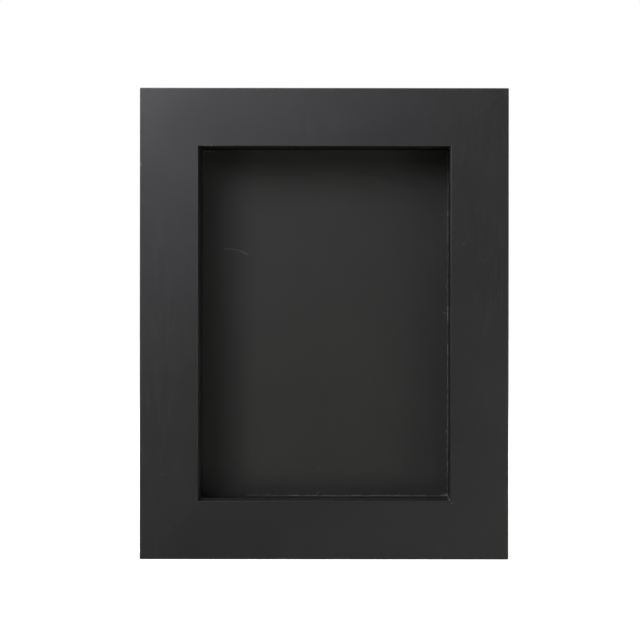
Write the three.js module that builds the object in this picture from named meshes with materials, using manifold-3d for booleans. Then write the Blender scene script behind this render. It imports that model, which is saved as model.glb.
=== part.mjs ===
// A deep, rear-loading shadow box: a mitred frame of four rabbeted rails, with a glass pane behind the lip,
// four spacer strips that make the display cavity, a display board and a back panel. Four turn buttons hold
// the back in, two sawtooth hangers carry the box upright or on its side, and four bumpers keep it off
// the wall.
// Millimetres. The front looks along -Y, +Z is up, and the origin is the centre of the underside.

import * as THREE from 'three';
import { mergeVertices } from 'three/addons/utils/BufferGeometryUtils.js';
import Module from 'manifold-3d';

const wasm = await Module();
wasm.setup();

// ---------------------------------------------------------------- driving dimensions

const WIDTH = 180; // outer size along X
const HEIGHT = 230; // outer size along Z
const DEPTH = 38; // front face to rear face of the rails
const FACE = 28.5; // width of a rail's flat front face
const LIP = 4.25; // how far the face overhangs the pocket behind it
const LIP_DEPTH = 8; // thickness of that overhang
const MITRE_GAP = 0.012; // each rail stops this short of the mitre plane, for the glue line
const FRONT_ARRIS = 0.6; // rounding of the outer front edge
const SIGHT_ARRIS = 0.4; // rounding of the edge around the opening
const REAR_ARRIS = 0.8; // rounding of the outer rear edge
const POCKET_ARRIS = 0.4; // rounding of the rear edge around the pocket
const OUTER_CORNER = 0.7; // rounding of the box's four corners, seen from the front

const SHEET_WIDTH = 130; // glass, display board and back panel share one format
const SHEET_HEIGHT = 180;
const GLASS = 2;
const SPACER = 4; // thickness of a spacer strip
const SPACER_DEPTH = 22.2; // glass to display board
const SPACER_FIT = 0.25; // gap from a spacer to the pocket wall
const BOARD = 2.5;
const BACK = 3;
const BACK_CORNER = 1.5;
const STACK_GAP = 0.05; // air between two stacked sheets

const V_NAIL_PLACES = [7, 17.5]; // distance of each V-nail from the outer corner, along both edges
const V_NAIL_LEG = 5;
const V_NAIL_SHEET = 0.6;
const V_NAIL_HEIGHT = 10;
const V_NAIL_HALF_ANGLE = THREE.MathUtils.degToRad(50);
const V_NAIL_SINK = 0.15; // how far it is driven below the surface
const V_NAIL_CLEARANCE = 0.12;

const BUTTON_OFFSET = 50; // pivot to the middle of the rail
const BUTTON_INSET = 6.2; // pivot to the edge of the pocket
const BUTTON_REACH = 13.5; // pivot to the centre of the tongue's round tip
const BUTTON_BOSS_RADIUS = 5.2;
const BUTTON_TIP_RADIUS = 4;
const BUTTON_SHEET = 1.2;
const BUTTON_GAP = 0.2; // rail to button, and button to screw head
const BUTTON_BORE = 1.65;

const SCREW_RADIUS = 1.5;
const SCREW_LENGTH = 13;
const SCREW_HEAD_RADIUS = 2.9;
const SCREW_HEAD = 1.5;
const SCREW_POINT = 3.5; // length of the taper at the tip
const SCREW_TWIST = 0.4; // radians from the rail to the arms of the screw's cross
const CROSS_LENGTH = 2.9; // the cross recess in the head
const CROSS_WIDTH = 0.75;
const CROSS_DEPTH = 1;
const FASTENER_CLEARANCE = 0.12; // shank to hole, for screws and nails

const HANGER_LENGTH = 45;
const HANGER_WIDTH = 9;
const HANGER_SHEET = 0.8;
const HANGER_RAISE = 1.4; // how far the toothed middle stands off the rail
const HANGER_MIDDLE = 14; // half length of the raised middle
const HANGER_FOOT = 16.2; // where the flat feet begin
const HANGER_NAIL_OFFSET = 19.3;
const HANGER_HOLE = 0.95;
const HANGER_HOLE_SIDES = 16;
const HANGER_INSET = 12; // centre line of the hanger to the outer edge of its rail
const TOOTH_PITCH = 2.3;
const TOOTH_DEPTH = 1.7;
const TOOTH_COUNT = 11;
const TOOTH_LAND = 0.15; // half width of the flat left on each tooth
const HANGER_CORNER = 2.5;
const METAL_GAP = 0.05; // rail to hanger foot or bumper, and foot to nail head

const NAIL_RADIUS = 0.7;
const NAIL_LENGTH = 9;
const NAIL_HEAD_RADIUS = 1.7;
const NAIL_HEAD = 0.6;
const NAIL_POINT = 1.6; // length of the taper at the tip
const NAIL_SIDES = 16;

const BUMPER_RADIUS = 4;
const BUMPER_HEIGHT = 3.3;
const BUMPER_ROUNDING = 1.2;
const BUMPER_INSET = 28; // centre to the outer side of the box
const BUMPER_SIDES = 24;

// ---------------------------------------------------------------- places worked out from them

const FRONT_Y = -DEPTH / 2;
const REAR_Y = DEPTH / 2;
const POCKET_EDGE = FACE - LIP; // outer edge of a rail to its pocket
const OPENING_WIDTH = WIDTH - 2 * FACE;
const OPENING_HEIGHT = HEIGHT - 2 * FACE;
const GLASS_Y = FRONT_Y + LIP_DEPTH + STACK_GAP; // front of each layer, from the lip backwards
const SPACER_Y = GLASS_Y + GLASS + STACK_GAP;
const BOARD_Y = SPACER_Y + SPACER_DEPTH + STACK_GAP;
const BACK_Y = BOARD_Y + BOARD + STACK_GAP;
const BUTTON_Y = REAR_Y + BUTTON_GAP;
const SCREW_HEAD_Y = BUTTON_Y + BUTTON_SHEET + BUTTON_GAP;
const RIGHT_ANGLE = Math.PI / 2;
const CUT_OVERRUN = 1; // cutters run this far past the surface they open

// ---------------------------------------------------------------- materials

const material = (color, roughness, metalness = 0) =>
  new THREE.MeshStandardMaterial({ color, roughness, metalness });

const LACQUER = material(0x232324, 0.5);
const STRIP = material(0x1d1d1e, 0.75);
const BLACK_CARD = material(0x29292a, 0.85);
const HARDBOARD = material(0x4b3322, 0.8);
const GALVANISED = material(0x9da0a3, 0.42, 1);
const SPRING_STEEL = material(0x6f7276, 0.4, 1);
const BLACK_RUBBER = material(0x171717, 0.7);
const CLEAR_GLASS = new THREE.MeshStandardMaterial({
  color: 0xf4f8f7,
  roughness: 0.03,
  metalness: 0,
  transparent: true,
  opacity: 0.12,
});

// ---------------------------------------------------------------- shape helpers

// A closed outline through corners [x, y, radius], listed anticlockwise, each turned with a true arc.
function roundedShape(corners) {
  const shape = new THREE.Shape();
  corners.forEach(([x, y, radius = 0], i) => {
    const corner = new THREE.Vector2(x, y);
    const before = new THREE.Vector2(...corners.at(i - 1).slice(0, 2));
    const after = new THREE.Vector2(...corners[(i + 1) % corners.length].slice(0, 2));
    const incoming = corner.clone().sub(before).normalize();
    const outgoing = after.sub(corner).normalize();
    const turn = Math.atan2(incoming.cross(outgoing), incoming.dot(outgoing));
    const trim = radius * Math.tan(Math.abs(turn) / 2);
    const start = corner.clone().addScaledVector(incoming, -trim);
    if (i === 0) shape.moveTo(start.x, start.y);
    else shape.lineTo(start.x, start.y);
    if (radius === 0) return;
    const side = Math.sign(turn);
    const inward = new THREE.Vector2(-incoming.y * side, incoming.x * side);
    const centre = start.clone().addScaledVector(inward, radius);
    const from = Math.atan2(start.y - centre.y, start.x - centre.x);
    shape.absarc(centre.x, centre.y, radius, from, from + turn, side < 0);
  });
  shape.closePath();
  return shape;
}

const rectangle = (width, height, radius = 0) =>
  roundedShape([
    [-width / 2, -height / 2, radius],
    [width / 2, -height / 2, radius],
    [width / 2, height / 2, radius],
    [-width / 2, height / 2, radius],
  ]);

// A shape drawn in X and Z as seen from the front, with its thickness running from y = near to y = far.
function plate(shape, near, far, curveSegments = 6) {
  const depth = far - near;
  const geometry = new THREE.ExtrudeGeometry(shape, { depth, bevelEnabled: false, curveSegments });
  return geometry.rotateX(RIGHT_ANGLE).translate(0, far, 0);
}

// A pin hole along Y that opens rearwards.
function bore(radius, near, far, sides = 20) {
  return new THREE.CylinderGeometry(radius, radius, far - near, sides).translate(0, (near + far) / 2, 0);
}

// A turned piece about Y: points are [radius, y] from the tip on the axis to the top on the axis.
const turned = (points, sides = 24) =>
  new THREE.LatheGeometry(points.map(([radius, y]) => new THREE.Vector2(radius, y)), sides);

// A quarter circle of [radius, y] points, from a side wall at wallRadius up to the flat top at y = top.
function roundedShoulder(wallRadius, top, rounding, steps = 5) {
  return Array.from({ length: steps + 1 }, (_, i) => {
    const angle = (i / steps) * RIGHT_ANGLE;
    const radius = wallRadius - rounding + rounding * Math.cos(angle);
    return [radius, top - rounding + rounding * Math.sin(angle)];
  });
}

function toManifold(geometry) {
  const bare = geometry.clone();
  bare.deleteAttribute('normal');
  bare.deleteAttribute('uv');
  const merged = mergeVertices(bare, 1e-4);
  const mesh = new wasm.Mesh({
    numProp: 3,
    vertProperties: merged.attributes.position.array,
    triVerts: merged.index.array,
  });
  return new wasm.Manifold(mesh);
}

function toGeometry(manifold) {
  const mesh = manifold.getMesh();
  const geometry = new THREE.BufferGeometry();
  geometry.setAttribute('position', new THREE.BufferAttribute(mesh.vertProperties, 3));
  geometry.setIndex(new THREE.BufferAttribute(mesh.triVerts, 1));
  geometry.computeVertexNormals();
  return geometry;
}

const cut = (geometry, cutters) =>
  toGeometry(cutters.reduce((body, cutter) => body.subtract(toManifold(cutter)), toManifold(geometry)));

const keepInside = (geometry, envelope) =>
  toGeometry(toManifold(geometry).intersect(toManifold(envelope)));

function piece(name, geometry, finish) {
  const mesh = new THREE.Mesh(geometry, finish);
  mesh.name = name;
  return mesh;
}

// ---------------------------------------------------------------- the mitred frame

// A rail lies along X with its outer edge at z = -halfSpan and its opening side upwards. The section is drawn
// in (distance from the outer edge, y), and the ends are sheared to the two mitre planes.
function railBlank(length, halfSpan) {
  const section = roundedShape([
    [0, FRONT_Y, FRONT_ARRIS],
    [FACE, FRONT_Y, SIGHT_ARRIS],
    [FACE, FRONT_Y + LIP_DEPTH],
    [POCKET_EDGE, FRONT_Y + LIP_DEPTH],
    [POCKET_EDGE, REAR_Y, POCKET_ARRIS],
    [0, REAR_Y, REAR_ARRIS],
  ]);
  const geometry = new THREE.ExtrudeGeometry(section, { depth: 1, bevelEnabled: false, curveSegments: 5 });
  const position = geometry.attributes.position;
  for (let i = 0; i < position.count; i++) {
    const fromEdge = position.getX(i);
    const end = 1 - 2 * position.getZ(i);
    position.setXYZ(i, end * (length / 2 - fromEdge - MITRE_GAP), position.getY(i), fromEdge - halfSpan);
  }
  return geometry;
}

// A V of bent sheet in plan, apex upwards; grow thickens it on every side to make its pocket.
function vShape(grow = 0) {
  const half = V_NAIL_SHEET / 2 + grow;
  const reach = V_NAIL_LEG + grow;
  const sin = Math.sin(V_NAIL_HALF_ANGLE);
  const cos = Math.cos(V_NAIL_HALF_ANGLE);
  const tip = (side, outward) =>
    new THREE.Vector2(side * (sin * reach + outward * cos * half), -cos * reach + outward * sin * half);
  return new THREE.Shape([
    tip(-1, 1),
    tip(-1, -1),
    new THREE.Vector2(0, -half / sin),
    tip(1, -1),
    tip(1, 1),
    new THREE.Vector2(0, half / sin),
  ]);
}

// Where a V-nail sits, in the frame of a rail: side is the rail's end, place the distance from the corner.
function toVNailPlace(geometry, side, place, length, halfSpan) {
  return geometry.rotateY(Math.atan2(-side, 1)).translate(side * (length / 2 - place), 0, place - halfSpan);
}

function vNail() {
  const top = REAR_Y - V_NAIL_SINK;
  return plate(vShape(), top - V_NAIL_HEIGHT, top);
}

function vNailPocket() {
  const bottom = REAR_Y - V_NAIL_SINK - V_NAIL_HEIGHT - V_NAIL_CLEARANCE;
  return plate(vShape(V_NAIL_CLEARANCE), bottom, REAR_Y + CUT_OVERRUN);
}

function railMesh(name, length, halfSpan, holes) {
  const outline = plate(rectangle(length, 2 * halfSpan, OUTER_CORNER), FRONT_Y, REAR_Y);
  const blank = keepInside(railBlank(length, halfSpan), outline);
  const pockets = [-1, 1].flatMap((side) =>
    V_NAIL_PLACES.map((place) => toVNailPlace(vNailPocket(), side, place, length, halfSpan)),
  );
  return piece(name, cut(blank, [...pockets, ...holes]), LACQUER);
}

// ---------------------------------------------------------------- turn buttons and their screws

// The outline wraps a boss around the pivot and a smaller round tip, joined by their common tangents.
function buttonOutline() {
  const lean = Math.acos((BUTTON_BOSS_RADIUS - BUTTON_TIP_RADIUS) / BUTTON_REACH);
  const shape = new THREE.Shape();
  shape.absarc(0, 0, BUTTON_BOSS_RADIUS, lean, 2 * Math.PI - lean, false);
  shape.absarc(BUTTON_REACH, 0, BUTTON_TIP_RADIUS, -lean, lean, false);
  shape.closePath();
  const hole = new THREE.Path();
  hole.absarc(0, 0, BUTTON_BORE, 0, 2 * Math.PI, true);
  shape.holes.push(hole);
  return shape;
}

const turnButton = () => plate(buttonOutline(), BUTTON_Y, BUTTON_Y + BUTTON_SHEET, 14);

function buttonScrew() {
  const tip = REAR_Y - SCREW_LENGTH;
  const blank = turned([
    [0, tip],
    [SCREW_RADIUS, tip + SCREW_POINT],
    [SCREW_RADIUS, SCREW_HEAD_Y],
    [SCREW_HEAD_RADIUS, SCREW_HEAD_Y],
    ...roundedShoulder(SCREW_HEAD_RADIUS, SCREW_HEAD_Y + SCREW_HEAD, SCREW_HEAD * 0.85),
    [0, SCREW_HEAD_Y + SCREW_HEAD],
  ]);
  const floor = SCREW_HEAD_Y + SCREW_HEAD - CROSS_DEPTH;
  const ceiling = SCREW_HEAD_Y + SCREW_HEAD + CUT_OVERRUN;
  return cut(blank, [
    plate(rectangle(CROSS_LENGTH, CROSS_WIDTH), floor, ceiling),
    plate(rectangle(CROSS_WIDTH, CROSS_LENGTH), floor, ceiling),
  ]);
}

const screwHole = () =>
  bore(SCREW_RADIUS + FASTENER_CLEARANCE, REAR_Y - SCREW_LENGTH - CUT_OVERRUN, REAR_Y + CUT_OVERRUN);

// ---------------------------------------------------------------- sawtooth hangers and their nails

// The strip is bent up in the middle, rounded at its ends, and notched along the edge towards the opening.
function sawtoothHanger() {
  const height = (x) => (Math.abs(x) > HANGER_MIDDLE ? 0 : HANGER_RAISE);
  const rightBends = [HANGER_MIDDLE, HANGER_FOOT, HANGER_LENGTH / 2];
  const bends = [...rightBends.map((x) => -x).reverse(), ...rightBends];
  const under = bends.map((x) => new THREE.Vector2(x, height(x)));
  const over = bends.map((x) => new THREE.Vector2(x, height(x) + HANGER_SHEET)).reverse();
  const strip = new THREE.ExtrudeGeometry(new THREE.Shape([...under, ...over]), {
    depth: HANGER_WIDTH,
    bevelEnabled: false,
  }).translate(0, REAR_Y + METAL_GAP, -HANGER_WIDTH / 2);

  const near = REAR_Y - CUT_OVERRUN;
  const far = REAR_Y + HANGER_RAISE + HANGER_SHEET + CUT_OVERRUN;
  const edge = HANGER_WIDTH / 2;
  const halfComb = (TOOTH_COUNT / 2) * TOOTH_PITCH;
  const comb = [
    new THREE.Vector2(halfComb, edge + CUT_OVERRUN),
    new THREE.Vector2(-halfComb, edge + CUT_OVERRUN),
  ];
  for (let i = 0; i < TOOTH_COUNT; i++) {
    const middle = (i - (TOOTH_COUNT - 1) / 2) * TOOTH_PITCH;
    const flank = TOOTH_PITCH / 2 - TOOTH_LAND;
    comb.push(new THREE.Vector2(middle - flank, edge));
    comb.push(new THREE.Vector2(middle, edge - TOOTH_DEPTH));
    comb.push(new THREE.Vector2(middle + flank, edge));
  }
  const rounded = keepInside(strip, plate(rectangle(HANGER_LENGTH, HANGER_WIDTH, HANGER_CORNER), near, far));
  const holes = [-1, 1].map((side) =>
    bore(HANGER_HOLE, near, far, HANGER_HOLE_SIDES).translate(side * HANGER_NAIL_OFFSET, 0, 0),
  );
  return cut(rounded, [plate(new THREE.Shape(comb), near, far), ...holes]);
}

function hangerNail() {
  const headY = REAR_Y + METAL_GAP + HANGER_SHEET + METAL_GAP;
  const tip = REAR_Y - NAIL_LENGTH;
  return turned(
    [
      [0, tip],
      [NAIL_RADIUS, tip + NAIL_POINT],
      [NAIL_RADIUS, headY],
      [NAIL_HEAD_RADIUS, headY],
      ...roundedShoulder(NAIL_HEAD_RADIUS, headY + NAIL_HEAD, NAIL_HEAD * 0.7, 3),
      [0, headY + NAIL_HEAD],
    ],
    NAIL_SIDES,
  );
}

function nailHole() {
  const bottom = REAR_Y - NAIL_LENGTH - CUT_OVERRUN;
  return bore(NAIL_RADIUS + FASTENER_CLEARANCE, bottom, REAR_Y + CUT_OVERRUN, NAIL_SIDES);
}

// ---------------------------------------------------------------- bumpers

function bumper() {
  const base = REAR_Y + METAL_GAP;
  return turned(
    [
      [0, base],
      [BUMPER_RADIUS, base],
      ...roundedShoulder(BUMPER_RADIUS, base + BUMPER_HEIGHT, BUMPER_ROUNDING),
      [0, base + BUMPER_HEIGHT],
    ],
    BUMPER_SIDES,
  );
}

// ---------------------------------------------------------------- assembly

const shadowBox = new THREE.Group();

const centre = new THREE.Group();
centre.position.z = HEIGHT / 2;
shadowBox.add(centre);

// Each rail and what is fixed to it share a group, turned about the middle of the box. In that group the
// rail lies along X below the middle, so "after" is the end towards +X.
const RAILS = [
  { name: 'bottom', length: WIDTH, halfSpan: HEIGHT / 2, turn: 0 },
  { name: 'top', length: WIDTH, halfSpan: HEIGHT / 2, turn: Math.PI, hanger: ['right', 'left'] },
  {
    name: 'left',
    length: HEIGHT,
    halfSpan: WIDTH / 2,
    turn: RIGHT_ANGLE,
    buttons: ['upper', 'lower'],
    hanger: ['upper', 'lower'],
  },
  { name: 'right', length: HEIGHT, halfSpan: WIDTH / 2, turn: -RIGHT_ANGLE, buttons: ['lower', 'upper'] },
];

for (const { name, length, halfSpan, turn, buttons, hanger } of RAILS) {
  const group = new THREE.Group();
  group.rotation.y = turn;
  centre.add(group);
  const holes = [];

  buttons?.forEach((level, i) => {
    const side = i === 0 ? -1 : 1;
    const pivot = [side * BUTTON_OFFSET, 0, POCKET_EDGE - BUTTON_INSET - halfSpan];
    holes.push(screwHole().translate(...pivot));
    const screw = piece(`button_screw_${name}_${level}`, buttonScrew(), GALVANISED);
    screw.position.set(...pivot);
    screw.rotation.y = side * SCREW_TWIST;
    const button = piece(`turn_button_${name}_${level}`, turnButton(), GALVANISED);
    button.position.set(...pivot);
    button.rotation.y = side < 0 ? Math.PI : 0;
    group.add(screw, button);
  });

  if (hanger) {
    const plateMesh = piece(`sawtooth_hanger_${name}`, sawtoothHanger(), GALVANISED);
    plateMesh.position.z = HANGER_INSET - halfSpan;
    group.add(plateMesh);
    hanger.forEach((end, i) => {
      const place = [(i === 0 ? -1 : 1) * HANGER_NAIL_OFFSET, 0, HANGER_INSET - halfSpan];
      holes.push(nailHole().translate(...place));
      const nail = piece(`hanger_nail_${name}_${end}`, hangerNail(), SPRING_STEEL);
      nail.position.set(...place);
      group.add(nail);
    });
  }

  group.add(railMesh(`rail_${name}`, length, halfSpan, holes));
}

for (const [vertical, up] of [['bottom', -1], ['top', 1]]) {
  for (const [horizontal, across] of [['left', -1], ['right', 1]]) {
    V_NAIL_PLACES.forEach((place, i) => {
      const label = i === 0 ? 'outer' : 'inner';
      const nail = piece(`v_nail_${vertical}_${horizontal}_${label}`, vNail(), SPRING_STEEL);
      nail.position.set(across * (WIDTH / 2 - place), 0, up * (HEIGHT / 2 - place));
      nail.rotation.y = Math.atan2(-across, -up);
      centre.add(nail);
    });
    const pad = piece(`bumper_${vertical}_${horizontal}`, bumper(), BLACK_RUBBER);
    pad.position.set(across * (WIDTH / 2 - BUMPER_INSET), 0, up * (HEIGHT - POCKET_EDGE) / 2);
    centre.add(pad);
  }
}

// The stack in the pocket, from the lip backwards.
const sheet = (near, thickness) =>
  plate(rectangle(SHEET_WIDTH, SHEET_HEIGHT), near, near + thickness);
centre.add(piece('glass_pane', sheet(GLASS_Y, GLASS), CLEAR_GLASS));
centre.add(piece('display_board', sheet(BOARD_Y, BOARD), BLACK_CARD));
const backOutline = rectangle(SHEET_WIDTH, SHEET_HEIGHT, BACK_CORNER);
centre.add(piece('back_panel', plate(backOutline, BACK_Y, BACK_Y + BACK), HARDBOARD));

const pocketHeight = HEIGHT - 2 * POCKET_EDGE;
const sideStrip = rectangle(SPACER, pocketHeight - 2 * SPACER_FIT);
const crossStrip = rectangle(OPENING_WIDTH - 2 * STACK_GAP, SPACER);
for (const [name, side] of [['left', -1], ['right', 1]]) {
  const strip = piece(`spacer_${name}`, plate(sideStrip, SPACER_Y, SPACER_Y + SPACER_DEPTH), STRIP);
  strip.position.x = side * (OPENING_WIDTH + SPACER) / 2;
  centre.add(strip);
}
for (const [name, side] of [['bottom', -1], ['top', 1]]) {
  const strip = piece(`spacer_${name}`, plate(crossStrip, SPACER_Y, SPACER_Y + SPACER_DEPTH), STRIP);
  strip.position.z = side * (OPENING_HEIGHT + SPACER) / 2;
  centre.add(strip);
}

export default shadowBox;
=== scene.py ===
"""The looks of the deep black shadow box: materials, dust and small wear, studio and camera."""

import math
import random

import bmesh
import bpy
from mathutils import Matrix, Vector

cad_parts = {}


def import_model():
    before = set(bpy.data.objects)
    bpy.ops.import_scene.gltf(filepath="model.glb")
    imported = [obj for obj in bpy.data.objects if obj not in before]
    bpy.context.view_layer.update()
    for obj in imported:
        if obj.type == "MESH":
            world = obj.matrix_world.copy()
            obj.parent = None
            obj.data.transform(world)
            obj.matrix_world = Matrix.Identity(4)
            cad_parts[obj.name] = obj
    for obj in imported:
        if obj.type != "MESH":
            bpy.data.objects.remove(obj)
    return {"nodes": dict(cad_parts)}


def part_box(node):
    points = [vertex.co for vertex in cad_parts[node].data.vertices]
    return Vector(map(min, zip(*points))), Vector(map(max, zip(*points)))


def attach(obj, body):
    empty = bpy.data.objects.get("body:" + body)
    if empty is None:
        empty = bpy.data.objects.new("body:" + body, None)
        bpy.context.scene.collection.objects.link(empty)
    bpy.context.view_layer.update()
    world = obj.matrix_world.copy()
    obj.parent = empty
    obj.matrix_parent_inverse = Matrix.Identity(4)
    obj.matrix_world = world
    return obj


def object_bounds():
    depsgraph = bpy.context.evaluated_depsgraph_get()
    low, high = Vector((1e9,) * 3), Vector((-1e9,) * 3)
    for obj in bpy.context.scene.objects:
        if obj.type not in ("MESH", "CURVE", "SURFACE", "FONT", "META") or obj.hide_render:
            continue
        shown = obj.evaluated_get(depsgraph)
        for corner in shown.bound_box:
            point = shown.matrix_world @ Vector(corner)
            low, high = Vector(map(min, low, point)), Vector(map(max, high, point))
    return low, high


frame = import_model()
cad_low, cad_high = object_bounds()

MM = 0.001
NODES = frame["nodes"]
FRONT_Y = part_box("rail_left")[0].y
REAR_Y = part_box("rail_left")[1].y
LEFT_X, RIGHT_X = cad_low.x, cad_high.x
BOTTOM_Z, TOP_Z = cad_low.z, cad_high.z
OPENING_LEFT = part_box("rail_left")[1].x
OPENING_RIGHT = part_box("rail_right")[0].x
OPENING_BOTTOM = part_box("rail_bottom")[1].z
OPENING_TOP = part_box("rail_top")[0].z
BOARD_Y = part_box("display_board")[0].y
CENTRE = Vector(((LEFT_X + RIGHT_X) / 2, (FRONT_Y + REAR_Y) / 2, (BOTTOM_Z + TOP_Z) / 2))


# ---------------------------------------------------------------- node helpers


class NodeBuilder:
    """A shader node tree being put together, with short calls for the arithmetic in it."""

    def __init__(self, owner):
        owner.use_nodes = True
        self.tree = owner.node_tree
        self.tree.nodes.clear()

    def add(self, kind, inputs=None, **settings):
        node = self.tree.nodes.new(kind)
        for key, value in settings.items():
            setattr(node, key, value)
        for key, value in (inputs or {}).items():
            self.feed(node.inputs[key], value)
        return node

    def feed(self, socket, value):
        if isinstance(value, bpy.types.NodeSocket):
            self.tree.links.new(value, socket)
        elif socket.type == "RGBA" and len(value) == 3:
            socket.default_value = (*value, 1)
        else:
            socket.default_value = value

    def math(self, operation, a, b=0.0, clamp=False):
        node = self.add("ShaderNodeMath", {0: a, 1: b}, operation=operation, use_clamp=clamp)
        return node.outputs[0]

    def span(self, value, low, high, to_low=0.0, to_high=1.0):
        """value between low and high becomes to_low to to_high, smoothly and held outside."""
        inputs = {"Value": value, "From Min": low, "From Max": high, "To Min": to_low, "To Max": to_high}
        node = self.add("ShaderNodeMapRange", inputs, interpolation_type="SMOOTHSTEP", clamp=True)
        return node.outputs["Result"]


class Surface(NodeBuilder):
    """A node material being put together. Textures are placed in metres, in the object's own frame."""

    def __init__(self, name):
        self.material = bpy.data.materials.new(name)
        super().__init__(self.material)
        self.output = self.add("ShaderNodeOutputMaterial")
        self.place = self.add("ShaderNodeTexCoord").outputs["Object"]
        split = self.add("ShaderNodeSeparateXYZ", {"Vector": self.place})
        self.x, self.y, self.z = split.outputs

    def spread(self, stretch=(1, 1, 1), shift=(0, 0, 0)):
        """The object's own coordinates, stretched and shifted. A stretch below 1 makes features longer."""
        node = self.add("ShaderNodeMapping", {"Vector": self.place, "Scale": stretch, "Location": shift})
        return node.outputs["Vector"]

    def noise(self, size, detail=2.0, rough=0.5, stretch=(1, 1, 1), shift=(0, 0, 0), distortion=0.0):
        """Soft noise between about 0.3 and 0.7, with features of the given size in metres."""
        inputs = {
            "Vector": self.spread(stretch, shift),
            "Scale": 1 / size,
            "Detail": detail,
            "Roughness": rough,
            "Distortion": distortion,
        }
        return self.add("ShaderNodeTexNoise", inputs).outputs[0]

    def cells(self, size, shift):
        """Distance to the nearest of scattered points, in cells, and that point's random value."""
        inputs = {"Vector": self.spread(shift=shift), "Scale": 1 / size}
        node = self.add("ShaderNodeTexVoronoi", inputs)
        random_value = self.add("ShaderNodeSeparateColor", {"Color": node.outputs["Color"]}).outputs[0]
        return node.outputs["Distance"], random_value

    def blend(self, factor, a, b):
        """Colour a where factor is 0, and colour b where it is 1."""
        node = self.add("ShaderNodeMix", {0: factor, 6: a, 7: b}, data_type="RGBA")
        return node.outputs[2]

    def bump(self, height, depth):
        """A normal that follows a height of 0 to 1, which stands for 0 to depth in metres."""
        inputs = {"Height": height, "Distance": depth, "Strength": 1.0}
        return self.add("ShaderNodeBump", inputs).outputs[0]

    def specks(self, spacing, size, share, shift=(0, 0, 0)):
        """Small round specks: one in each of a share of the cells, with sizes that vary."""
        distance, chance = self.cells(spacing, shift)
        present = self.math("LESS_THAN", chance, share)
        radius = self.math("MULTIPLY", chance, size / spacing / share)
        inside = self.span(self.math("SUBTRACT", radius, distance), 0.0, 0.35 * size / spacing)
        return self.math("MULTIPLY", inside, present)

    def edge_glow(self, radius):
        """1 on the object's own sharp edges, falling to 0 at about radius from them."""
        bevel = self.add("ShaderNodeBevel", {"Radius": radius}, samples=6).outputs[0]
        flat = self.add("ShaderNodeNewGeometry").outputs["Normal"]
        node = self.add("ShaderNodeVectorMath", {0: bevel, 1: flat}, operation="DOT_PRODUCT")
        return self.span(node.outputs["Value"], 0.99, 0.75)

    def finish(self, **inputs):
        """Ends the material in a principled shader, whose inputs are named with _ for each space."""
        named_inputs = {key.replace("_", " "): value for key, value in inputs.items()}
        shader = self.add("ShaderNodeBsdfPrincipled", named_inputs)
        self.tree.links.new(shader.outputs[0], self.output.inputs["Surface"])
        return self.material


def dress(material, *names):
    """Puts a material on CAD nodes."""
    for name in names:
        for slot in NODES[name].material_slots:
            slot.material = material


def named(start):
    """The names of the CAD nodes that start so."""
    return sorted(name for name in NODES if name.startswith(start))


# ---------------------------------------------------------------- materials


def box_edge_distance(s):
    """On the rails' outer skin: how far a point is from the nearest outer edge of the box."""
    half = Vector(((RIGHT_X - LEFT_X) / 2, (REAR_Y - FRONT_Y) / 2, (TOP_Z - BOTTOM_Z) / 2))
    gaps = []
    for axis, place in enumerate((s.x, s.y, s.z)):
        offset = s.math("ABSOLUTE", s.math("SUBTRACT", place, CENTRE[axis]))
        gaps.append(s.math("ABSOLUTE", s.math("SUBTRACT", half[axis], offset)))
    total = s.math("ADD", s.math("ADD", gaps[0], gaps[1]), gaps[2])
    largest = s.math("MAXIMUM", s.math("MAXIMUM", gaps[0], gaps[1]), gaps[2])
    return s.math("SUBTRACT", total, largest)


def from_middle(s):
    """Seen from the front: how far a point is from the middle of the box, sideways and up or down."""
    across = s.math("ABSOLUTE", s.math("SUBTRACT", s.x, CENTRE.x))
    up = s.math("ABSOLUTE", s.math("SUBTRACT", s.z, CENTRE.z))
    return across, up


def opening_plan_distance(s):
    """Seen from the front: how far a point is from the edge of the opening."""
    across, up = from_middle(s)
    beyond_side = s.math("SUBTRACT", across, (OPENING_RIGHT - OPENING_LEFT) / 2)
    beyond_end = s.math("SUBTRACT", up, (OPENING_TOP - OPENING_BOTTOM) / 2)
    return s.math("ABSOLUTE", s.math("MAXIMUM", beyond_side, beyond_end))


def opening_edge_distance(s):
    """On the rails: how far a point is from the front edge around the opening."""
    return s.math("MAXIMUM", opening_plan_distance(s), s.math("SUBTRACT", s.y, FRONT_Y))


def streak(s, x, z, length, width, lean):
    """Seen from the front: 1 in a ragged streak around x, z, turned by lean from the x direction."""
    across = s.math("SUBTRACT", s.x, x)
    up = s.math("SUBTRACT", s.z, z)
    cos, sin = math.cos(lean), math.sin(lean)
    along = s.math("ADD", s.math("MULTIPLY", across, cos), s.math("MULTIPLY", up, sin))
    beside = s.math("SUBTRACT", s.math("MULTIPLY", up, cos), s.math("MULTIPLY", across, sin))
    parts = {"X": s.math("DIVIDE", along, length / 2), "Y": s.math("DIVIDE", beside, width / 2)}
    scaled = s.add("ShaderNodeCombineXYZ", parts).outputs[0]
    away = s.add("ShaderNodeVectorMath", {0: scaled}, operation="LENGTH").outputs["Value"]
    ragged = s.noise(0.4 * MM, detail=3)
    return s.span(s.math("ADD", away, ragged), 1.5, 0.9)


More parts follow.
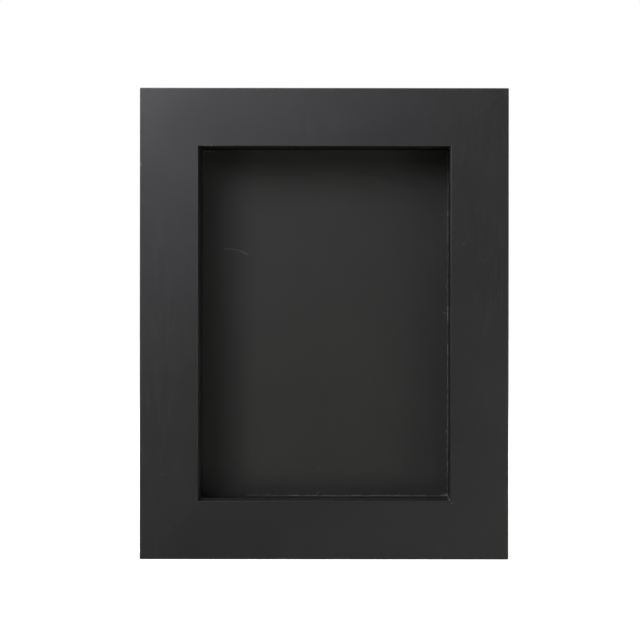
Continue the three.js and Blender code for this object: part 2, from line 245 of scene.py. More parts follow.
def marks_and_painted_glint(s):
    """A painted glint along the mitre at the opening's lower right, pale marks at its upper left, a nick in
    the left edge.
    """
    corner = 0.9 * MM
    nick_z = BOTTOM_Z + 0.8374 * (TOP_Z - BOTTOM_Z)
    along_mitre = math.radians(-45)
    marks = [
        # painted glint: a pale streak along the lower right mitre, where light catches it
        streak(s, OPENING_RIGHT + corner, OPENING_BOTTOM - corner, 2.4 * MM, 0.35 * MM, along_mitre),
        streak(s, OPENING_LEFT + 6.2 * MM, OPENING_TOP + 0.2 * MM, 1.9 * MM, 0.8 * MM, 0.0),
        streak(s, OPENING_LEFT + 3.4 * MM, OPENING_TOP + 0.1 * MM, 2.2 * MM, 0.5 * MM, 0.0),
        streak(s, LEFT_X, nick_z, 2.4 * MM, 2.0 * MM, 0.0),
    ]
    strongest = marks[0]
    for mark in marks[1:]:
        strongest = s.math("MAXIMUM", strongest, mark)
    near_front = s.span(s.y, FRONT_Y + 1.2 * MM, FRONT_Y + 0.6 * MM)
    return s.math("MULTIPLY", s.math("MULTIPLY", strongest, 0.8), near_front)


def rear_face(s):
    """On the rails: 1 on their rear face, falling to 0 just in front of it."""
    return s.span(s.y, REAR_Y - 0.9 * MM, REAR_Y - 0.2 * MM)


def rear_mitres(s):
    """1 on the glue lines that run from the corners across the rear of the rails, broken here and there."""
    across, up = from_middle(s)
    longer = (TOP_Z - BOTTOM_Z - RIGHT_X + LEFT_X) / 2
    away = s.math("ABSOLUTE", s.math("SUBTRACT", s.math("SUBTRACT", up, across), longer))
    ragged = s.noise(1.5 * MM, detail=4, rough=0.7)
    line = s.span(s.math("DIVIDE", away, s.span(ragged, 0.35, 0.65, 0.10 * MM, 0.30 * MM)), 1.0, 0.5)
    return s.math("MULTIPLY", line, rear_face(s))


def lacquer_dust(s):
    """Coarse specks and fine specks of dust."""
    coarse = s.specks(11 * MM, 0.34 * MM, 0.20)
    fine = s.specks(6 * MM, 0.16 * MM, 0.25, shift=(0.4, 0.2, 0.1))
    return s.math("ADD", coarse, fine)


def lacquer_colour(s, cloud, dust, rear, fibre):
    """Cloudy black, greyer on rubbed edges, with chips down to the board, knocks, a painted glint on the
    lower right mitre, dust and a bare rear.
    """
    colour = s.blend(cloud, (0.0118, 0.0118, 0.0118), (0.0160, 0.0160, 0.0160))

    rub = s.noise(3.5 * MM, detail=4, rough=0.7)
    edge = s.math("MINIMUM", box_edge_distance(s), opening_edge_distance(s))
    reach = s.span(rub, 0.35, 0.70, 0.20 * MM, 0.85 * MM)
    worn = s.span(s.math("DIVIDE", edge, reach), 1.0, 0.25)
    colour = s.blend(s.math("MULTIPLY", worn, 0.25), colour, (0.035, 0.035, 0.035))

    chip_chance = s.noise(5.5 * MM, detail=5, rough=0.75, shift=(0.31, 0.12, 0.07))
    chipped = s.math("MULTIPLY", s.span(chip_chance, 0.665, 0.70), s.span(edge, 0.55 * MM, 0.30 * MM))
    colour = s.blend(chipped, colour, (0.115, 0.090, 0.070))

    # pale colour for the painted glint on the mitre, the marks at the upper left and the nick
    colour = s.blend(marks_and_painted_glint(s), colour, (0.16, 0.16, 0.155))
    colour = s.blend(s.math("MULTIPLY", dust, 0.55, clamp=True), colour, (0.20, 0.20, 0.20))

    bare = s.math("MULTIPLY", rear, s.span(fibre, 0.35, 0.75, 0.15, 0.75))
    colour = s.blend(bare, colour, (0.040, 0.038, 0.036))
    return s.blend(s.math("MULTIPLY", rear_mitres(s), 0.85), colour, (0.004, 0.004, 0.004))


def lacquer_sheen(s, cloud, dust, rear):
    """Roughness and polish: satin on the faces, duller inside the opening, on dust and on the rear.

    The narrow edge around the opening is duller low down and brighter high up.
    """
    scuff = s.noise(1.4 * MM, detail=5, rough=0.65, stretch=(1, 1, 0.18))
    rough = s.math("ADD", s.span(cloud, 0.3, 0.7, 0.285, 0.305), s.span(scuff, 0.45, 0.75, -0.01, 0.03))
    rough = s.math("ADD", rough, s.math("MULTIPLY", rear, 0.22))
    rough = s.math("ADD", rough, s.math("MULTIPLY", dust, 0.3), clamp=True)

    behind_face = s.span(s.y, FRONT_Y + 0.3 * MM, FRONT_Y + 0.8 * MM)
    inner = s.math("MULTIPLY", behind_face, s.span(opening_plan_distance(s), 0.3 * MM, 0.1 * MM))
    rough = s.math("ADD", rough, s.math("MULTIPLY", inner, 0.25), clamp=True)

    on_arris = s.span(opening_edge_distance(s), 0.65 * MM, 0.45 * MM)
    polish = s.span(s.z, OPENING_BOTTOM, OPENING_TOP, -0.36, 0.37)
    gloss = s.math("ADD", s.span(inner, 0.0, 1.0, 0.58, 0.3), s.math("MULTIPLY", on_arris, polish))
    return rough, gloss


def lacquer_relief(s, dust, rear, fibre):
    """Orange peel with fine grit in it, specks of dust standing up, and coarse fibres on the rear."""
    peel = s.noise(1.3 * MM, detail=1.5, rough=0.4)
    grit = s.noise(0.16 * MM, detail=2)
    height = s.math("ADD", peel, s.math("MULTIPLY", grit, 0.10))
    height = s.math("ADD", height, s.math("MULTIPLY", dust, 2.0))
    height = s.math("ADD", height, s.math("MULTIPLY", s.math("MULTIPLY", rear, fibre), 3.0))
    return s.bump(height, 0.012 * MM)


def lacquer():
    """Satin black paint over fibreboard, with rubbed edges, a few chips, dust and a rougher rear face."""
    s = Surface("satin_black_lacquer")
    cloud = s.noise(45 * MM, detail=3)
    fibre = s.noise(0.55 * MM, detail=6, rough=0.7, distortion=0.6)
    dust = lacquer_dust(s)
    rear = rear_face(s)
    colour = lacquer_colour(s, cloud, dust, rear, fibre)
    rough, gloss = lacquer_sheen(s, cloud, dust, rear)
    normal = lacquer_relief(s, dust, rear, fibre)
    return s.finish(Base_Color=colour, Roughness=rough, Normal=normal, Specular_IOR_Level=gloss)


def spacer_paint():
    """Matt black paint on cut strips: saw lines along the strip, dry edges."""
    s = Surface("matt_black_spacer")
    lines = s.noise(0.5 * MM, detail=4, stretch=(0.08, 1, 0.08))
    cloud = s.noise(9 * MM, detail=4)
    colour = s.blend(cloud, (0.009, 0.009, 0.009), (0.014, 0.014, 0.014))
    colour = s.blend(s.math("MULTIPLY", s.edge_glow(0.35 * MM), 0.3), colour, (0.04, 0.04, 0.04))
    dust = s.specks(5 * MM, 0.22 * MM, 0.3)
    colour = s.blend(s.math("MULTIPLY", dust, 0.5), colour, (0.20, 0.20, 0.20))
    rough = s.span(lines, 0.3, 0.7, 0.62, 0.75)
    normal = s.bump(lines, 0.04 * MM)
    return s.finish(Base_Color=colour, Roughness=rough, Normal=normal, Specular_IOR_Level=0.2)


def seam_fluff_and_painted_highlight(s):
    """1 where pale fluff and a painted highlight lie: along most of the lower seam, and here and there up
    the right seam.
    """
    ragged = s.noise(2.2 * MM, detail=5, rough=0.75, shift=(0.05, 0, 0.02))
    reach = s.span(ragged, 0.34, 0.70, 0.10 * MM, 0.60 * MM)
    above = s.math("ABSOLUTE", s.math("DIVIDE", s.math("SUBTRACT", s.z, OPENING_BOTTOM), reach))
    lower_seam = s.math("MULTIPLY", s.span(above, 1.0, 0.6), s.span(s.x, OPENING_LEFT + 12 * MM, CENTRE.x))
    beside = s.math("ABSOLUTE", s.math("DIVIDE", s.math("SUBTRACT", OPENING_RIGHT, s.x), reach))
    right_seam = s.math("MULTIPLY", s.span(beside, 1.1, 0.6), s.span(ragged, 0.42, 0.64, 0.25, 1.0))
    return s.math("MAXIMUM", lower_seam, right_seam)


def board_card():
    """Matt black card with a fine tooth, lint, and pale fluff with a painted highlight along its lower and
    right seams.
    """
    s = Surface("black_display_card")
    cloud = s.noise(30 * MM, detail=4, rough=0.6)
    tooth = s.noise(0.22 * MM, detail=4, rough=0.65)
    fibre = s.noise(0.5 * MM, detail=5, stretch=(0.25, 1, 1), distortion=1.2)
    colour = s.blend(s.span(cloud, 0.25, 0.75), (0.0217, 0.0211, 0.0201), (0.0252, 0.0245, 0.0233))
    colour = s.blend(s.span(tooth, 0.3, 0.75, 0.0, 0.10), colour, (0.035, 0.035, 0.035))
    colour = s.blend(s.span(fibre, 0.62, 0.8, 0.0, 0.20), colour, (0.05, 0.05, 0.05))

    coarse_dust = s.specks(14 * MM, 0.42 * MM, 0.22)
    fine_dust = s.specks(5 * MM, 0.17 * MM, 0.22, shift=(0.2, 0.5, 0.3))
    dust = s.math("MULTIPLY", s.math("ADD", coarse_dust, fine_dust), 0.6, clamp=True)
    colour = s.blend(dust, colour, (0.22, 0.22, 0.22))
    # pale colour along the lower and right seams: fluff, and a painted highlight where light catches them
    colour = s.blend(s.math("MULTIPLY", seam_fluff_and_painted_highlight(s), 0.8), colour, (0.21, 0.21, 0.21))

    rough = s.span(tooth, 0.3, 0.7, 0.36, 0.39)
    height = s.math("ADD", tooth, s.math("MULTIPLY", fibre, 0.6))
    normal = s.bump(height, 0.003 * MM)
    return s.finish(Base_Color=colour, Roughness=rough, Normal=normal, Specular_IOR_Level=0.50)


def clear_glass():
    """A thin clear pane: it mirrors more at a slant, and has specks and a faint film of dust."""
    s = Surface("clear_glass")
    slant = s.add("ShaderNodeLayerWeight", {"Blend": 0.5}).outputs["Facing"]
    head_on = 0.04
    fresnel = s.math("ADD", head_on, s.math("MULTIPLY", s.math("POWER", slant, 5.0), 1 - head_on))
    film = s.noise(25 * MM, detail=5, rough=0.6)
    rough = s.span(film, 0.4, 0.7, 0.01, 0.05)
    mirror = s.add("ShaderNodeBsdfGlossy", {"Color": (1, 1, 1), "Roughness": rough}).outputs[0]
    clear = s.add("ShaderNodeBsdfTransparent", {"Color": (0.983, 0.985, 0.980)}).outputs[0]
    dust = s.math("ADD", s.specks(9 * MM, 0.20 * MM, 0.15), s.span(film, 0.45, 0.75, 0.0, 0.006))
    cover = s.math("MULTIPLY", dust, 0.4)
    haze = s.add("ShaderNodeBsdfDiffuse", {"Color": (0.30, 0.30, 0.30)}).outputs[0]
    pane = s.add("ShaderNodeMixShader", {0: fresnel, 1: clear, 2: mirror}).outputs[0]
    dusty = s.add("ShaderNodeMixShader", {0: cover, 1: pane, 2: haze}).outputs[0]
    s.tree.links.new(dusty, s.output.inputs["Surface"])
    return s.material


def hardboard():
    """Brown pressed fibreboard, smooth face: mottled, with dark flecks, light fibres and rubbed edges."""
    s = Surface("brown_hardboard")
    cloud = s.noise(28 * MM, detail=5, rough=0.6)
    mottle = s.noise(2.4 * MM, detail=6, rough=0.7, distortion=0.8)
    colour = s.blend(s.span(cloud, 0.3, 0.7), (0.140, 0.074, 0.040), (0.160, 0.088, 0.048))
    colour = s.blend(s.span(mottle, 0.40, 0.72, 0.0, 0.55), colour, (0.098, 0.049, 0.026))
    fleck = s.noise(0.7 * MM, detail=3, stretch=(1, 1, 0.35), distortion=1.5)
    colour = s.blend(s.span(fleck, 0.66, 0.74, 0.0, 0.8), colour, (0.035, 0.018, 0.011))
    fibre = s.noise(0.8 * MM, detail=4, stretch=(0.2, 1, 1), shift=(0.3, 0, 0.1), distortion=2.0)
    colour = s.blend(s.span(fibre, 0.66, 0.78, 0.0, 0.45), colour, (0.30, 0.19, 0.11))
    colour = s.blend(s.math("MULTIPLY", s.edge_glow(0.6 * MM), 0.5), colour, (0.26, 0.16, 0.095))
    rough = s.span(mottle, 0.3, 0.7, 0.50, 0.68)
    height = s.math("ADD", mottle, s.math("MULTIPLY", fleck, 0.5))
    normal = s.bump(height, 0.06 * MM)
    return s.finish(Base_Color=colour, Roughness=rough, Normal=normal)


def plated_steel(name, tint, brightness, rough_low, rough_high):
    """Stamped, plated sheet: a little cloudy, with a drawn grain, scratches, grime and rubbed edges."""
    s = Surface(name)
    dark, dull, bright = (tuple(c * brightness * share for c in tint) for share in (0.70, 0.88, 1.0))
    cloud = s.noise(7 * MM, detail=4, rough=0.55)
    colour = s.blend(s.span(cloud, 0.3, 0.7), dull, bright)
    drawn = s.noise(0.16 * MM, detail=3, stretch=(1, 1, 0.07))
    colour = s.blend(s.span(drawn, 0.35, 0.65, 0.0, 0.18), colour, dark)
    scratch = s.noise(0.45 * MM, detail=3, stretch=(0.05, 1, 1), distortion=0.3)
    crossing = s.noise(0.40 * MM, detail=3, stretch=(0.7, 1, 0.04), shift=(0.2, 0.1, 0), distortion=0.3)
    lines = s.math("MAXIMUM", s.span(scratch, 0.64, 0.72), s.span(crossing, 0.66, 0.74))
    colour = s.blend(s.math("MULTIPLY", lines, 0.40), colour, (0.88, 0.88, 0.87))
    grime = s.specks(2.6 * MM, 0.16 * MM, 0.22)
    colour = s.blend(s.math("MULTIPLY", grime, 0.45), colour, (0.16, 0.155, 0.145))
    edge = s.edge_glow(0.25 * MM)
    colour = s.blend(s.math("MULTIPLY", edge, 0.5), colour, (0.90, 0.90, 0.89))
    rough = s.span(cloud, 0.3, 0.7, rough_low, rough_high)
    rough = s.math("ADD", rough, s.span(drawn, 0.3, 0.7, 0.0, 0.06))
    rough = s.math("ADD", rough, s.math("MULTIPLY", lines, 0.08))
    normal = s.bump(drawn, 0.0012 * MM)
    return s.finish(Base_Color=colour, Metallic=1.0, Roughness=rough, Normal=normal)


def rubber():
    """Soft black rubber with a fine moulded texture and grey dust on it."""
    s = Surface("black_rubber")
    grain = s.noise(0.18 * MM, detail=3, rough=0.6)
    cloud = s.noise(1.8 * MM, detail=4)
    colour = s.blend(s.span(cloud, 0.35, 0.7), (0.016, 0.016, 0.016), (0.030, 0.030, 0.031))
    dust = s.specks(1.5 * MM, 0.14 * MM, 0.3)
    colour = s.blend(s.math("MULTIPLY", dust, 0.6), colour, (0.22, 0.21, 0.20))
    rough = s.span(grain, 0.3, 0.7, 0.55, 0.72)
    normal = s.bump(grain, 0.02 * MM)
    return s.finish(Base_Color=colour, Roughness=rough, Normal=normal)


def dress_frame():
    """Gives every CAD node its material."""
    dress(lacquer(), *named("rail_"))
    dress(spacer_paint(), *named("spacer_"))
    dress(board_card(), "display_board")
    dress(clear_glass(), "glass_pane")
    dress(hardboard(), "back_panel")
    zinc = plated_steel("bright_zinc", (1.0, 1.0, 0.97), 0.66, 0.26, 0.38)
    dress(zinc, *named("turn_button_"), *named("sawtooth_hanger_"), *named("button_screw_"))
    dress(plated_steel("bare_spring_steel", (0.96, 0.97, 1.0), 0.42, 0.34, 0.48), *named("v_nail_"))
    dress(plated_steel("nail_steel", (0.98, 0.98, 1.0), 0.50, 0.28, 0.42), *named("hanger_nail_"))
    dress(rubber(), *named("bumper_"))


# ---------------------------------------------------------------- dust and lint that lie in and on the box


def lint():
    """Pale grey fibre and dust: mottled, matt, a little fuzzy."""
    s = Surface("pale_lint")
    shade = s.noise(0.8 * MM, detail=3)
    colour = s.blend(s.span(shade, 0.3, 0.7), (0.26, 0.26, 0.25), (0.48, 0.48, 0.47))
    rough = s.span(shade, 0.3, 0.7, 0.85, 0.65)
    return s.finish(Base_Color=colour, Roughness=rough, Sheen_Weight=0.3)


def dried_glue():
    """Brown glue, cloudy and a little glossy, darkened by the paint that ran into the joint."""
    s = Surface("dried_glue")
    cloud = s.noise(1.2 * MM, detail=4)
    colour = s.blend(s.span(cloud, 0.35, 0.65), (0.010, 0.009, 0.008), (0.030, 0.024, 0.017))
    return s.finish(Base_Color=colour, Roughness=s.span(cloud, 0.3, 0.7, 0.35, 0.5))


def place_piece(name, data, material, body):
    """Makes a piece from mesh or curve data, and lets it ride on a body."""
    data.materials.append(material)
    piece = bpy.data.objects.new(name, data)
    bpy.context.scene.collection.objects.link(piece)
    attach(piece, body)


def mesh_data(name, mesh):
    """Ends a bmesh as mesh data."""
    data = bpy.data.meshes.new(name)
    mesh.to_mesh(data)
    mesh.free()
    return data


def fibres(name, paths, radius, material, body):
    """Thin round fibres along lists of points, as one piece."""
    data = bpy.data.curves.new(name, "CURVE")
    data.dimensions = "3D"
    data.bevel_depth = radius
    data.bevel_resolution = 1
    data.use_fill_caps = True
    for path in paths:
        spline = data.splines.new("POLY")
        spline.points.add(len(path) - 1)
        for point, place in zip(spline.points, path):
            point.co = (*place, 1)
    place_piece(name, data, material, body)


def grains(name, places, material, body, seed):
    """Ragged grains of dust at (x, y, z, size) places, as one piece."""
    draw = random.Random(seed)
    mesh = bmesh.new()
    for x, y, z, size in places:
        turn = Matrix.Rotation(draw.uniform(0, math.pi), 4, "Y")
        squeeze = Matrix.Diagonal((1.0, 0.5, draw.uniform(0.5, 0.9), 1.0))
        matrix = Matrix.Translation((x, y, z)) @ turn @ squeeze
        made = bmesh.ops.create_icosphere(mesh, subdivisions=2, radius=size / 2, matrix=matrix)
        middle = Vector((x, y, z))
        for vert in made["verts"]:
            vert.co = middle + (vert.co - middle) * draw.uniform(0.75, 1.15)
    place_piece(name, mesh_data(name, mesh), material, body)


def hair_path():
    """A hair lying across the upper left of the board: a shallow rise, then a slow fall to the right."""
    from_left, from_top = 11.0 * MM, 49.4 * MM
    length, fall, rise = 12.2 * MM, 3.0 * MM, 0.5 * MM
    steps = 24
    path = []
    for i in range(steps + 1):
        t = i / steps
        x = OPENING_LEFT + from_left + t * length
        z = OPENING_TOP - from_top - fall * t**1.6 + rise * math.sin(math.pi * t)
        path.append((x, BOARD_Y - 0.07 * MM, z))
    return path


def curl_path(draw, x, z, length, lean):
    """A short fibre that starts at x, z on the board and wanders off in the direction lean."""
    steps = 8
    path = [(x, BOARD_Y - 0.05 * MM, z)]
    for _ in range(steps):
        lean += draw.uniform(-0.45, 0.45)
        x = min(x + math.cos(lean) * length / steps, OPENING_RIGHT - 0.06 * MM)
        z = max(z + math.sin(lean) * length / steps, OPENING_BOTTOM + 0.06 * MM)
        path.append((x, BOARD_Y - draw.uniform(0.05, 0.22) * MM, z))
    return path


def seam_lint(seed):
    """Fibres caught in the lower seam, a few up the right seam, and a tuft in the corner between them."""
    draw = random.Random(seed)
    width = OPENING_RIGHT - OPENING_LEFT
    height = OPENING_TOP - OPENING_BOTTOM
    paths = []
    for _ in range(30):
        x = OPENING_LEFT + width * draw.uniform(0.16, 0.97)
        paths.append(curl_path(draw, x, OPENING_BOTTOM + 0.1 * MM, draw.uniform(1.0, 4.5) * MM, 0.05))
    for _ in range(14):
        z = OPENING_BOTTOM + height * draw.triangular(0.18, 0.75, 0.5)
        paths.append(curl_path(draw, OPENING_RIGHT - 0.1 * MM, z, draw.uniform(0.8, 3.5) * MM, math.pi / 2))
    for _ in range(7):
        x = OPENING_RIGHT - draw.uniform(0.1, 3.2) * MM
        lean = draw.uniform(1.2, 2.2)
        paths.append(curl_path(draw, x, OPENING_BOTTOM + 0.1 * MM, draw.uniform(0.8, 2.4) * MM, lean))
    return paths


def mitre_glue():
    """The thin dark film of glue that closes each mitre, set back from the face and from the recess."""
    half_film = 0.008 * MM
    half_width, half_height = RIGHT_X - CENTRE.x, TOP_Z - CENTRE.z
    glass_low, glass_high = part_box("glass_pane")
    inner = OPENING_RIGHT - CENTRE.x + 0.05 * MM
    outer = half_width - 0.25 * MM
    pocket = glass_high.x - CENTRE.x + 1.0 * MM
    front, rear = FRONT_Y + 0.5 * MM, REAR_Y - 0.2 * MM
    lip_back = glass_low.y - 0.4 * MM
    face_edge = [(inner, front), (outer, front)]
    rear_edge = [(outer, rear), (pocket, rear)]
    lip_edge = [(pocket, lip_back), (inner, lip_back)]
    outline = face_edge + rear_edge + lip_edge
    mesh = bmesh.new()
    for side in (-1, 1):
        for end in (-1, 1):
            across = Vector((side, 0, -end)).normalized() * half_film
            middle = [
                Vector((CENTRE.x + side * out, y, CENTRE.z + end * (half_height - half_width + out)))
                for out, y in outline
            ]
            first = [mesh.verts.new(point + across) for point in middle]
            second = [mesh.verts.new(point - across) for point in middle]
            mesh.faces.new(first)
            mesh.faces.new(list(reversed(second)))
            for i in range(len(outline)):
                j = (i + 1) % len(outline)
                mesh.faces.new([first[j], first[i], second[i], second[j]])
    bmesh.ops.recalc_face_normals(mesh, faces=mesh.faces)
    place_piece("mitre_glue", mesh_data("mitre_glue", mesh), dried_glue(), "frame")


def board_dust():
    """Grains on the board: x from the middle and z from the top as shares of the opening, and size in mm."""
    scattered = [(0.174, 0.67, 0.34), (-0.027, 0.92, 0.34), (0.056, 0.39, 0.28)]
    scattered += [(0.255, 0.435, 0.26), (0.166, 0.405, 0.24)]
    right_seam = [(0.494, 0.81, 0.54), (0.493, 0.865, 0.60)]
    upper_left_corner = [(-0.486, 0.004, 0.40), (-0.471, 0.003, 0.62), (-0.457, 0.003, 0.50)]
    lower_right_corner = [(0.474, 0.998, 0.46), (0.485, 0.997, 0.50), (0.4945, 0.997, 0.66)]
    grain_list = scattered + right_seam + upper_left_corner + lower_right_corner
    width = OPENING_RIGHT - OPENING_LEFT
    height = OPENING_TOP - OPENING_BOTTOM
    y = BOARD_Y - 0.05 * MM
    return [(CENTRE.x + x * width, y, OPENING_TOP - z * height, size * MM) for x, z, size in grain_list]


def face_dust():
    """Grains on the face: x from the middle and z from the bottom as shares of the box, and size in mm."""
    grain_list = [(-0.459, 0.635, 0.30), (-0.430, 0.380, 0.26), (-0.438, 0.180, 0.24)]
    grain_list += [(-0.177, 0.104, 0.22), (0.412, 0.740, 0.24), (0.433, 0.633, 0.28)]
    width, height = RIGHT_X - LEFT_X, TOP_Z - BOTTOM_Z
    y = FRONT_Y + 0.02 * MM
    return [(CENTRE.x + x * width, y, BOTTOM_Z + z * height, size * MM) for x, z, size in grain_list]


def corner_dust():
    """Grains one behind the other in the lower right corner of the recess, larger towards the board."""
    inset = 0.25 * MM
    depth_and_size = [(0.9, 0.34), (3.8, 0.50), (13.0, 0.56), (22.0, 0.66)]
    x, z = OPENING_RIGHT - inset, OPENING_BOTTOM + inset
    return [(x, FRONT_Y + depth * MM, z, size * MM) for depth, size in depth_and_size]


def lay_dust():
    """The hair, the lint and the grains of dust, on the board and on the frame."""
    pale = lint()
    fibres("hair_on_board", [hair_path()], 0.045 * MM, pale, "back")
    fibres("lint_on_board", seam_lint(seed=7), 0.035 * MM, pale, "back")
    grains("dust_on_board", board_dust(), pale, "back", seed=3)
    grains("dust_on_frame", face_dust() + corner_dust(), pale, "frame", seed=5)


# ---------------------------------------------------------------- shape finish on the CAD nodes


def modifier_group(name):
    """A new modifier group, with its start and end nodes."""
    group = bpy.data.node_groups.new(name, "GeometryNodeTree")
    for way in ("INPUT", "OUTPUT"):
        group.interface.new_socket("Geometry", in_out=way, socket_type="NodeSocketGeometry")
    return group, group.nodes.new("NodeGroupInput"), group.nodes.new("NodeGroupOutput")


def smoothing_group():
    """A modifier group that shades everything but real edges smooth."""
    smooth_below = math.radians(32)
    group, start, end = modifier_group("smooth_by_angle")
    angle = group.nodes.new("GeometryNodeInputMeshEdgeAngle")
    compare = group.nodes.new("FunctionNodeCompare")
    compare.operation = "LESS_THAN"
    compare.inputs["B"].default_value = smooth_below
    faces = group.nodes.new("GeometryNodeSetShadeSmooth")
    edges = group.nodes.new("GeometryNodeSetShadeSmooth")
    edges.domain = "EDGE"
    link = group.links.new
    link(start.outputs[0], faces.inputs["Geometry"])
    link(angle.outputs["Unsigned Angle"], compare.inputs["A"])
    link(faces.outputs[0], edges.inputs["Geometry"])
    link(compare.outputs[0], edges.inputs["Shade Smooth"])
    link(edges.outputs[0], end.inputs[0])
    return group


def plain_normals_group():
    """A modifier group that leaves out the normals stored with a mesh. The mesh itself keeps them."""
    group, start, end = modifier_group("plain_normals")
    remove = group.nodes.new("GeometryNodeRemoveAttribute")
    remove.inputs["Name"].default_value = "custom_normal"
    group.links.new(start.outputs[0], remove.inputs["Geometry"])
    group.links.new(remove.outputs[0], end.inputs[0])
    return group


def finish_shapes():
    """Welds and smooths every CAD node, and breaks the sharp edges of the loose and stamped pieces."""
    bevel_above = math.radians(40)
    plain = plain_normals_group()
    smooth = smoothing_group()
    edge_break = {
        "turn_button_": 0.22 * MM,
        "sawtooth_hanger_": 0.10 * MM,
        "button_screw_": 0.08 * MM,
        "back_panel": 0.30 * MM,
        "display_board": 0.12 * MM,
        "glass_pane": 0.20 * MM,
        "spacer_": 0.15 * MM,
        "v_nail_": 0.05 * MM,
    }
    for name, node in NODES.items():
        bare = node.modifiers.new("plain_normals", "NODES")
        bare.node_group = plain
        weld = node.modifiers.new("weld", "WELD")
        weld.merge_threshold = 0.002 * MM
        for start, width in edge_break.items():
            if name.startswith(start):
                bevel = node.modifiers.new("edge_break", "BEVEL")
                bevel.width = width
                bevel.segments = 3
                bevel.limit_method = "ANGLE"
                bevel.angle_limit = bevel_above
        shade = node.modifiers.new("smooth", "NODES")
        shade.node_group = smooth
        even = node.modifiers.new("flat_faces_stay_flat", "WEIGHTED_NORMAL")
        even.mode = "FACE_AREA"
        even.weight = 100
        even.keep_sharp = True


# ---------------------------------------------------------------- studio


def floor():
    """A pale paper floor that glows by itself, casts no shadow on the box and is clear from below."""
    half_size = 8.0
    corners = [(x * half_size, y * half_size, BOTTOM_Z) for x, y in ((-1, -1), (1, -1), (1, 1), (-1, 1))]
    mesh = bpy.data.meshes.new("studio_floor")
    mesh.from_pydata(corners, [], [(0, 1, 2, 3)])
    plane = bpy.data.objects.new("studio_floor", mesh)
    bpy.context.scene.collection.objects.link(plane)
    s = Surface("pale_studio_floor")
    paper = s.noise(60 * MM, detail=3)
    colour = s.blend(paper, (0.80, 0.80, 0.80), (0.84, 0.84, 0.84))
    away = s.add("ShaderNodeVectorMath", {0: s.place}, operation="LENGTH").outputs["Value"]
    glow = s.span(away, 0.10, 0.90, 0.80, 1.0)
    from_above = s.math("SUBTRACT", 1.0, s.add("ShaderNodeNewGeometry").outputs["Backfacing"])
    glowing = {"Emission_Color": (1, 1, 1), "Emission_Strength": glow}
    mesh.materials.append(s.finish(Base_Color=colour, Roughness=0.9, Alpha=from_above, **glowing))
    plane.visible_glossy = False
    plane.visible_diffuse = False
    plane.visible_shadow = False


def window_bands(n, x, y, z):
    """Soft slanted bands of light, seen only in mirroring surfaces, and none close to straight in front."""
    slant = n.math("ADD", n.math("MULTIPLY", x, 30.0), n.math("MULTIPLY", z, 14.0))
    wave = n.math("ADD", n.math("SINE", slant), 0.15)
    band = n.math("MULTIPLY", wave, 0.85, clamp=True)
    off_axis = n.math("MULTIPLY", n.math("ADD", y, 0.93), 8.0, clamp=True)
    mirrored = n.add("ShaderNodeLightPath").outputs["Is Glossy Ray"]
    strength = n.math("MULTIPLY", mirrored, 0.35)
    return n.math("MULTIPLY", n.math("MULTIPLY", band, off_axis), strength)


def world():
    """White to the camera, and a soft dim room to everything else, darkest straight in front of the box."""
    studio_world = bpy.data.worlds.new("studio_world")
    bpy.context.scene.world = studio_world
    n = NodeBuilder(studio_world)
    direction = n.add("ShaderNodeTexCoord").outputs["Generated"]
    x, y, z = n.add("ShaderNodeSeparateXYZ", {0: direction}).outputs
    dark_front = n.span(y, -0.05, 0.40, 0.0, 0.30)
    strength = n.math("ADD", dark_front, window_bands(n, x, y, z))
    room = n.add("ShaderNodeBackground", {"Color": (1.0, 0.99, 0.96), "Strength": strength}).outputs[0]
    white = n.add("ShaderNodeBackground", {"Color": (1, 1, 1)}).outputs[0]
    to_camera = n.add("ShaderNodeLightPath").outputs["Is Camera Ray"]
    seen = n.add("ShaderNodeMixShader", {0: to_camera, 1: room, 2: white}).outputs[0]
    n.add("ShaderNodeOutputWorld", {"Surface": seen})


def keep_off(lamp, names):
    """These CAD nodes don't receive light from the lamp."""
    receivers = bpy.data.collections.new(lamp.name + "_receivers")
    for name in names:
        receivers.objects.link(NODES[name])
    for entry in receivers.collection_objects:
        entry.light_linking.link_state = "EXCLUDE"
    lamp.light_linking.receiver_collection = receivers


def soft_box(name, azimuth, elevation, distance, width, height, power, colour):
    """A soft box that faces CENTRE and skips the glass. Azimuth 0 is in front, and positive to the right."""
    turn, rise = math.radians(azimuth), math.radians(elevation)
    level = math.cos(rise)
    offset = distance * Vector((math.sin(turn) * level, -math.cos(turn) * level, math.sin(rise)))
    light = bpy.data.lights.new(name, "AREA")
    light.shape = "RECTANGLE"
    light.size = width
    light.size_y = height
    light.energy = power
    light.color = colour
    lamp = bpy.data.objects.new(name, light)
    lamp.location = CENTRE + offset
    lamp.rotation_euler = (-offset).to_track_quat("-Z", "Y").to_euler()
    bpy.context.scene.collection.objects.link(lamp)
    keep_off(lamp, ["glass_pane"])
    return lamp


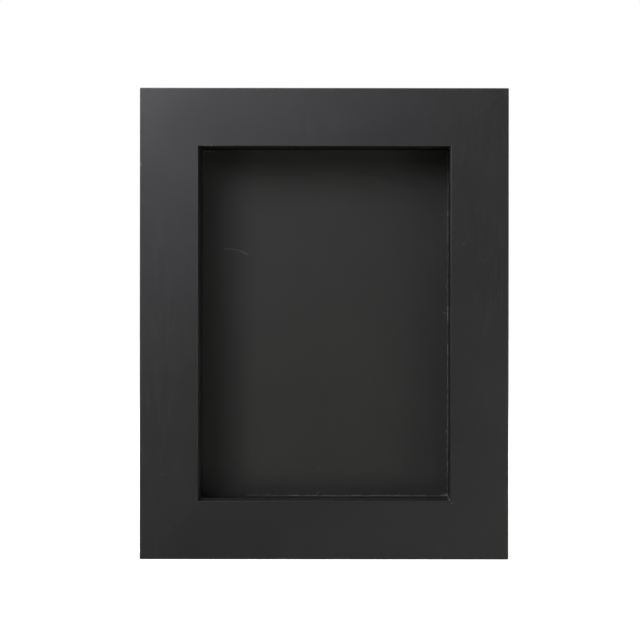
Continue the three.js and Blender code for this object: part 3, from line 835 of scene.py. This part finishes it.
def front_lamps(cool, warm):
    """The key from the upper left, and weaker warm fills from below."""
    distance = 1.3
    soft_box("key", -30, 31, distance, 0.60, 0.50, 10.0, cool)
    soft_box("key_spread", -18, 24, distance, 1.00, 0.50, 2.65, cool)
    soft_box("top", 0, 50, distance, 0.80, 0.40, 3.7, cool)
    soft_box("fill_left", -35, -14, distance, 0.30, 0.30, 3.1, warm)
    soft_box("fill_right", 42, -14, distance, 0.70, 0.50, 5.2, warm)
    soft_box("fill_near_right", 16, -10, distance, 0.20, 0.40, 0.36, warm)


def rear_lamps(warm):
    """Large dim lamps for the views from behind."""
    soft_box("rear_top", 160, 60, 1.6, 1.5, 1.5, 18, warm)
    soft_box("rear_side", 145, 22, 1.7, 1.0, 1.0, 11, warm)


def sheen_lamps(cool, warm):
    """Small lamps for the soft sheen on the face, which don't light the recess."""
    upper_left = (-18, 18, 2.35, cool)
    left = (-14, 3, 0.080, cool)
    right = (13, 6, 0.030, warm)
    low = (0, -10, 0.035, warm)
    distance, size = 1.3, 0.25
    for number, (azimuth, elevation, power, colour) in enumerate((upper_left, left, right, low)):
        sheen = soft_box(f"sheen_{number}", azimuth, elevation, distance, size, size, power, colour)
        sheen.visible_diffuse = False
        keep_off(sheen, ["glass_pane", "display_board", *named("spacer_")])


def camera():
    """Straight on, a little right of and above the middle, shifted so that the box stays centred."""
    sensor = 36.0
    distance = 1.22
    right, above = 20 * MM, 8 * MM
    box_share = 0.5768  # the box's width in the picture, as a share of the picture's width
    middle_right, middle_up = 0.0066, -0.0057  # the box's middle in the picture, as shares of its width
    data = bpy.data.cameras.new("camera")
    data.sensor_width = sensor
    data.lens = sensor * box_share * distance / (RIGHT_X - LEFT_X)
    view_width = distance * sensor / data.lens
    data.shift_x = -(right / view_width) - middle_right
    data.shift_y = -(above / view_width) - middle_up
    data.clip_start = 0.01
    cam = bpy.data.objects.new("camera", data)
    cam.location = (CENTRE.x + right, FRONT_Y - distance, CENTRE.z + above)
    cam.rotation_euler = (math.radians(90), math.radians(-0.06), 0)
    bpy.context.scene.collection.objects.link(cam)
    bpy.context.scene.camera = cam


def studio():
    """Floor, room, lamps and camera."""
    cool, warm = (0.935, 0.92, 1.0), (1.0, 1.0, 0.93)
    floor()
    world()
    front_lamps(cool, warm)
    rear_lamps(warm)
    sheen_lamps(cool, warm)
    camera()
    bpy.context.scene.view_settings.view_transform = "Standard"


dress_frame()
finish_shapes()
mitre_glue()
lay_dust()
studio()
